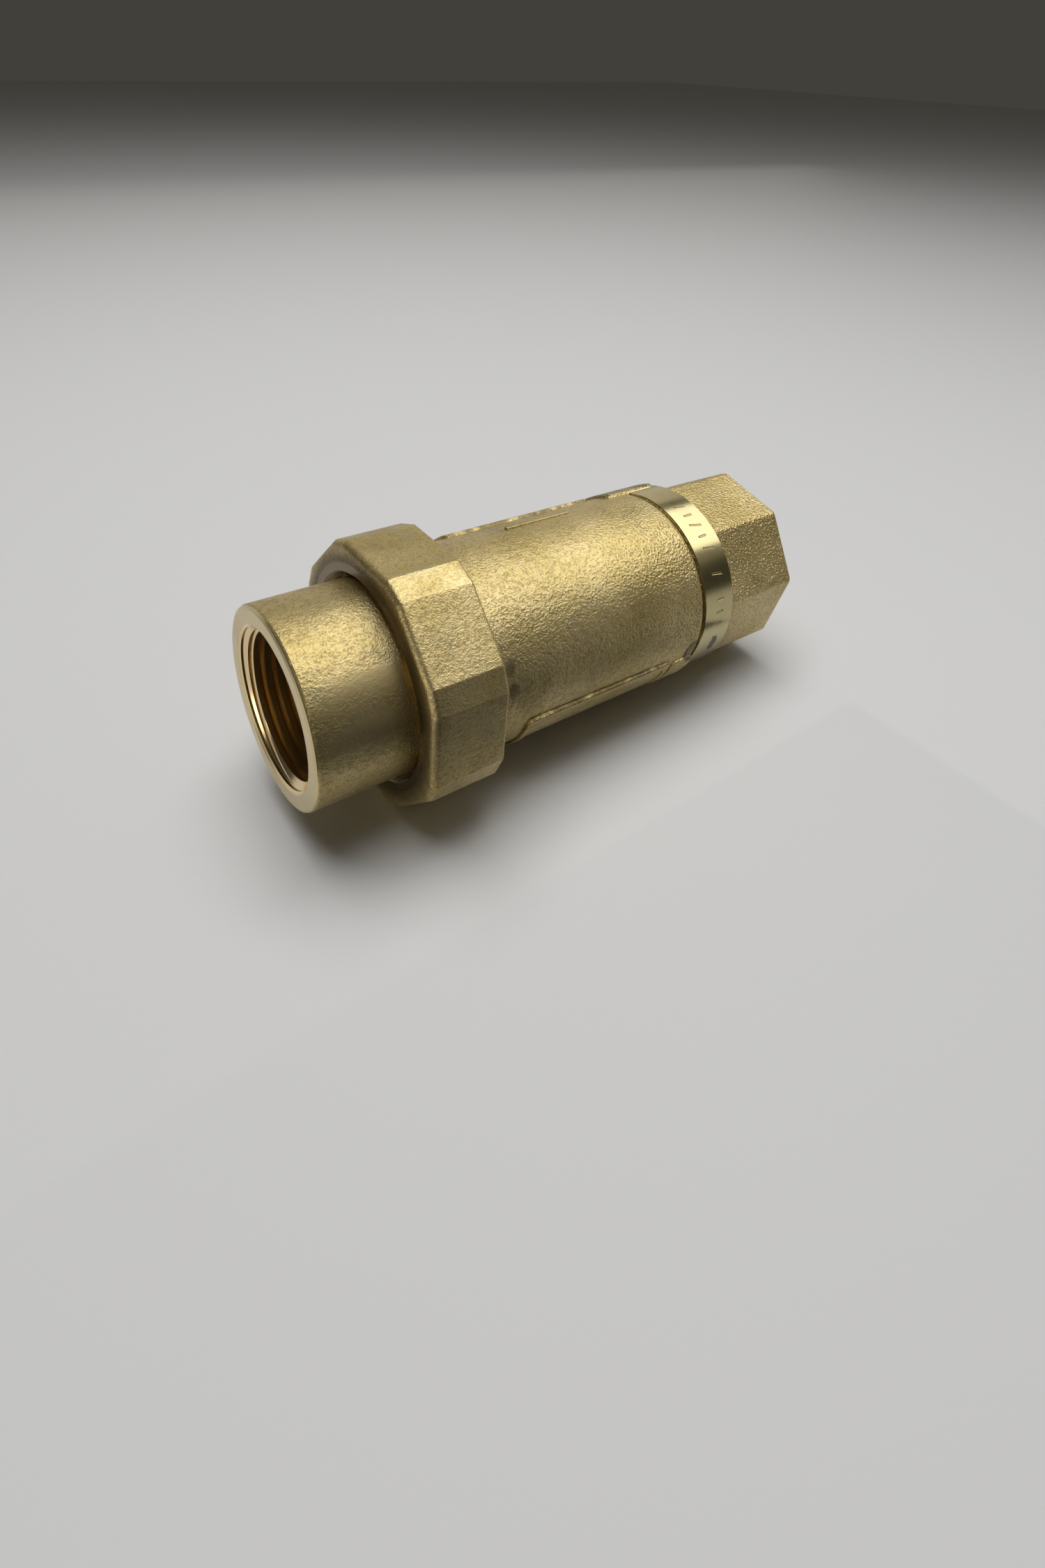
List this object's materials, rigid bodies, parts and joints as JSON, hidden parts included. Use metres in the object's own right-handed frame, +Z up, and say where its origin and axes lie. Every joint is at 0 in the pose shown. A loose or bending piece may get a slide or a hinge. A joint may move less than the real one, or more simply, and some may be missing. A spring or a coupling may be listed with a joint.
{
  "type": "check valve",
  "caption": "Brass in-line check valve with a union nut inlet, cylindrical barrel, machined band and octagonal threaded outlet; sprung poppets pass water one way.",
  "frame": {"origin": "on the valve axis where the first thread of the inlet starts, 2.1 mm inside the inlet face", "axes": "+X along the valve axis in the direction of flow, from the union inlet to the outlet; +Z up, square to a wide flat of the union nut"},
  "size_m": [0.1262, 0.0546, 0.0546],
  "materials": {
    "body_brass": "shot-blasted casting with a polished band",
    "tailpiece_brass": "satin casting with machined face and thread",
    "nut_brass": "fine-grained casting, rounded edges",
    "gasket_rubber": "matt",
    "ring_steel": "phosphated spring steel",
    "black_acetal": "moulded satin",
    "poppet_acetal": "moulded satin",
    "seal_rubber": "matt",
    "stainless": "brushed",
    "spring_steel": "drawn wire"
  },
  "bodies": {
    "valve_body": {"body": "body_brass", "retaining_ring": "ring_steel", "module_spacer": "black_acetal", "first_seat_housing": "black_acetal", "first_housing_o_ring": "seal_rubber", "first_stem_guide": "black_acetal", "first_return_spring": "spring_steel", "second_seat_housing": "black_acetal", "second_housing_o_ring": "seal_rubber", "second_stem_guide": "black_acetal", "second_return_spring": "spring_steel"},
    "tailpiece": {"tailpiece": "tailpiece_brass", "union_gasket": "gasket_rubber"},
    "union_nut": {"union_nut": "nut_brass"},
    "first_poppet": {"first_poppet": "poppet_acetal", "first_seat_seal": "seal_rubber", "first_seal_clamp": "stainless", "first_clamp_screw": "stainless"},
    "second_poppet": {"second_poppet": "poppet_acetal", "second_seat_seal": "seal_rubber", "second_seal_clamp": "stainless", "second_clamp_screw": "stainless"}
  },
  "joints": [
    {"name": "nut_turn", "type": "hinge", "parent": "tailpiece", "child": "union_nut", "pos_m": [0, 0, 0], "axis": [-1, 0, 0], "range_deg": [0, 1180]},
    {"name": "union_open", "type": "slide", "parent": "valve_body", "child": "tailpiece", "axis": [-1, 0, 0], "range_m": [0, 0.0075]},
    {"name": "first_poppet_lift", "type": "slide", "parent": "valve_body", "child": "first_poppet", "axis": [1, 0, 0], "range_m": [0, 0.0055], "stiffness_N_per_m": 200, "springref_m": -0.006, "deforming": ["first_return_spring"]},
    {"name": "second_poppet_lift", "type": "slide", "parent": "valve_body", "child": "second_poppet", "axis": [1, 0, 0], "range_m": [0, 0.0055], "stiffness_N_per_m": 200, "springref_m": -0.006, "deforming": ["second_return_spring"]}
  ],
  "couplings": [
    {"joint": "nut_turn", "follows": "union_open", "rad_per_m": 2721.2}
  ]
}
